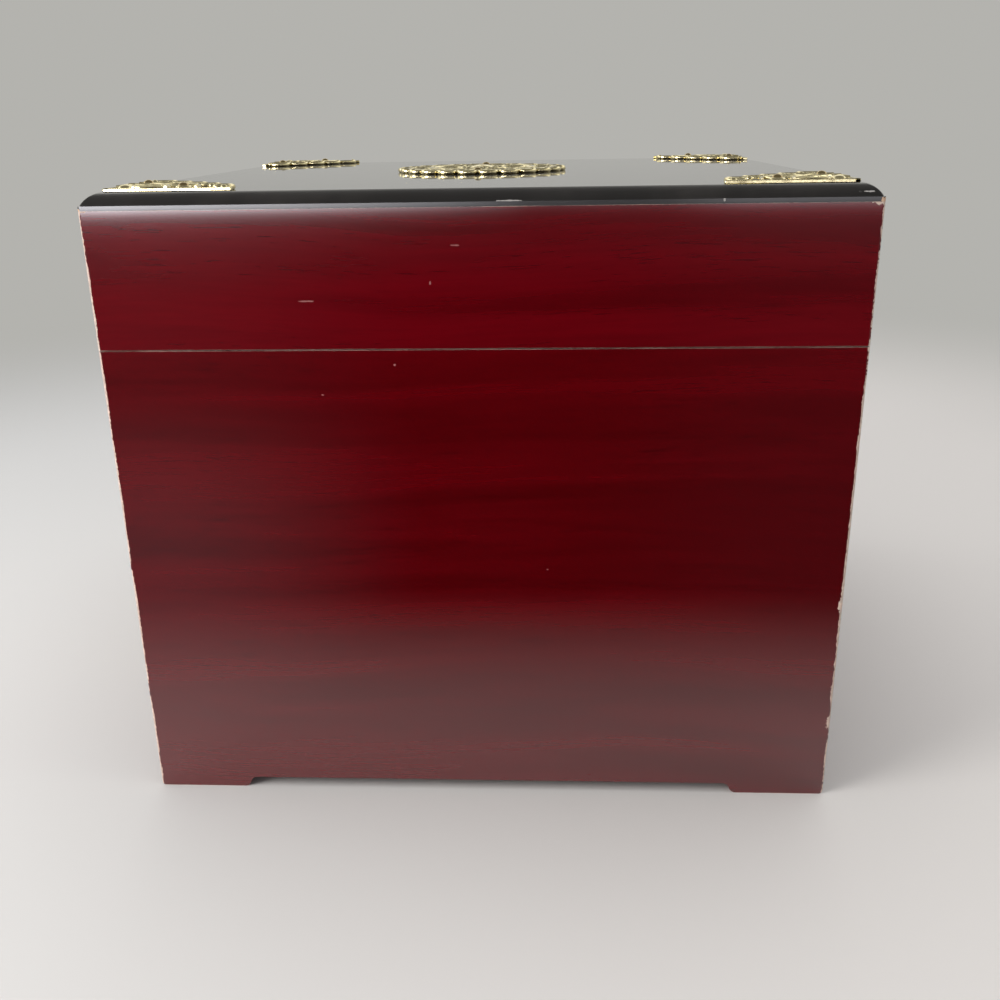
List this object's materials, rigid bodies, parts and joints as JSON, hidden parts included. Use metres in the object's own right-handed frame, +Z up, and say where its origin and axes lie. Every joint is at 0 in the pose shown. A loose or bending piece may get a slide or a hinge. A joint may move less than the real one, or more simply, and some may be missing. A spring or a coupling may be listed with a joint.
{
  "type": "jewelry box",
  "caption": "Square wooden jewellery box with a flat moulded lid, openwork brass corner fittings and medallion, a lined tray and drawers with swinging bail pulls.",
  "frame": {"origin": "centre of the footprint's bounding box, on the surface the box stands on", "axes": "-Y is the front with the drawers, +Y the hinge side, +Z up; the pictured side is +X"},
  "size_m": [0.32, 0.3332, 0.2821],
  "materials": {
    "red_lacquer": "high gloss lacquer over red veneer",
    "black_lacquer": "high gloss black lacquer",
    "inner_wood": "plain satin",
    "brass": "polished, slightly dull",
    "lining_cloth": "flocked velvet",
    "mirror_glass": "silvered"
  },
  "bodies": {
    "case": {"back_panel": "red_lacquer", "bottom_board": "inner_wood", "front_apron": "red_lacquer", "front_top_rail": "red_lacquer", "hinge_left_lower_leaf": "brass", "hinge_pins": "brass", "hinge_right_lower_leaf": "brass", "hinge_screws_lower": "brass", "ring_cushion": "lining_cloth", "shelf_lower": "inner_wood", "shelf_middle": "inner_wood", "side_panel_left": "red_lacquer", "side_panel_right": "red_lacquer", "tray_dividers": "inner_wood", "tray_floor": "inner_wood", "tray_lining": "lining_cloth"},
    "lid": {"lid_side_left": "red_lacquer", "lid_side_right": "red_lacquer", "lid_front": "red_lacquer", "lid_back": "red_lacquer", "lid_top_board": "black_lacquer", "lid_liner": "lining_cloth", "mirror": "mirror_glass", "mirror_frame": "inner_wood", "corner_fitting_front_left": "brass", "corner_fitting_front_right": "brass", "corner_fitting_back_right": "brass", "corner_fitting_back_left": "brass", "medallion": "brass", "lid_nails": "brass", "hinge_left_upper_leaf": "brass", "hinge_right_upper_leaf": "brass", "hinge_screws_upper": "brass"},
    "lower_drawer": {"drawer_lower_back": "inner_wood", "drawer_lower_bottom": "inner_wood", "drawer_lower_front": "red_lacquer", "drawer_lower_lining": "lining_cloth", "drawer_lower_pull_plate": "brass", "drawer_lower_pull_posts": "brass", "drawer_lower_side_left": "inner_wood", "drawer_lower_side_right": "inner_wood"},
    "lower_bail": {"drawer_lower_bail": "brass"},
    "middle_drawer": {"drawer_middle_back": "inner_wood", "drawer_middle_bottom": "inner_wood", "drawer_middle_front": "red_lacquer", "drawer_middle_lining": "lining_cloth", "drawer_middle_pull_plate": "brass", "drawer_middle_pull_posts": "brass", "drawer_middle_side_left": "inner_wood", "drawer_middle_side_right": "inner_wood"},
    "middle_bail": {"drawer_middle_bail": "brass"},
    "upper_drawer": {"drawer_upper_back": "inner_wood", "drawer_upper_bottom": "inner_wood", "drawer_upper_front": "red_lacquer", "drawer_upper_lining": "lining_cloth", "drawer_upper_pull_plate": "brass", "drawer_upper_pull_posts": "brass", "drawer_upper_side_left": "inner_wood", "drawer_upper_side_right": "inner_wood"},
    "upper_bail": {"drawer_upper_bail": "brass"}
  },
  "joints": [
    {"name": "lid_hinge", "type": "hinge", "parent": "case", "child": "lid", "pos_m": [0, 0.16425, 0.2152], "axis": [-1, 0, 0], "range_deg": [0, 95]},
    {"name": "lower_drawer_slide", "type": "slide", "parent": "case", "child": "lower_drawer", "axis": [0, -1, 0], "range_m": [0, 0.24]},
    {"name": "middle_drawer_slide", "type": "slide", "parent": "case", "child": "middle_drawer", "axis": [0, -1, 0], "range_m": [0, 0.24]},
    {"name": "upper_drawer_slide", "type": "slide", "parent": "case", "child": "upper_drawer", "axis": [0, -1, 0], "range_m": [0, 0.24]},
    {"name": "lower_bail_swing", "type": "hinge", "parent": "lower_drawer", "child": "lower_bail", "pos_m": [0, -0.16355, 0.04917], "axis": [-1, 0, 0], "range_deg": [0, 85]},
    {"name": "middle_bail_swing", "type": "hinge", "parent": "middle_drawer", "child": "middle_bail", "pos_m": [0, -0.16355, 0.0995], "axis": [-1, 0, 0], "range_deg": [0, 85]},
    {"name": "upper_bail_swing", "type": "hinge", "parent": "upper_drawer", "child": "upper_bail", "pos_m": [0, -0.16355, 0.14983], "axis": [-1, 0, 0], "range_deg": [0, 85]}
  ]
}
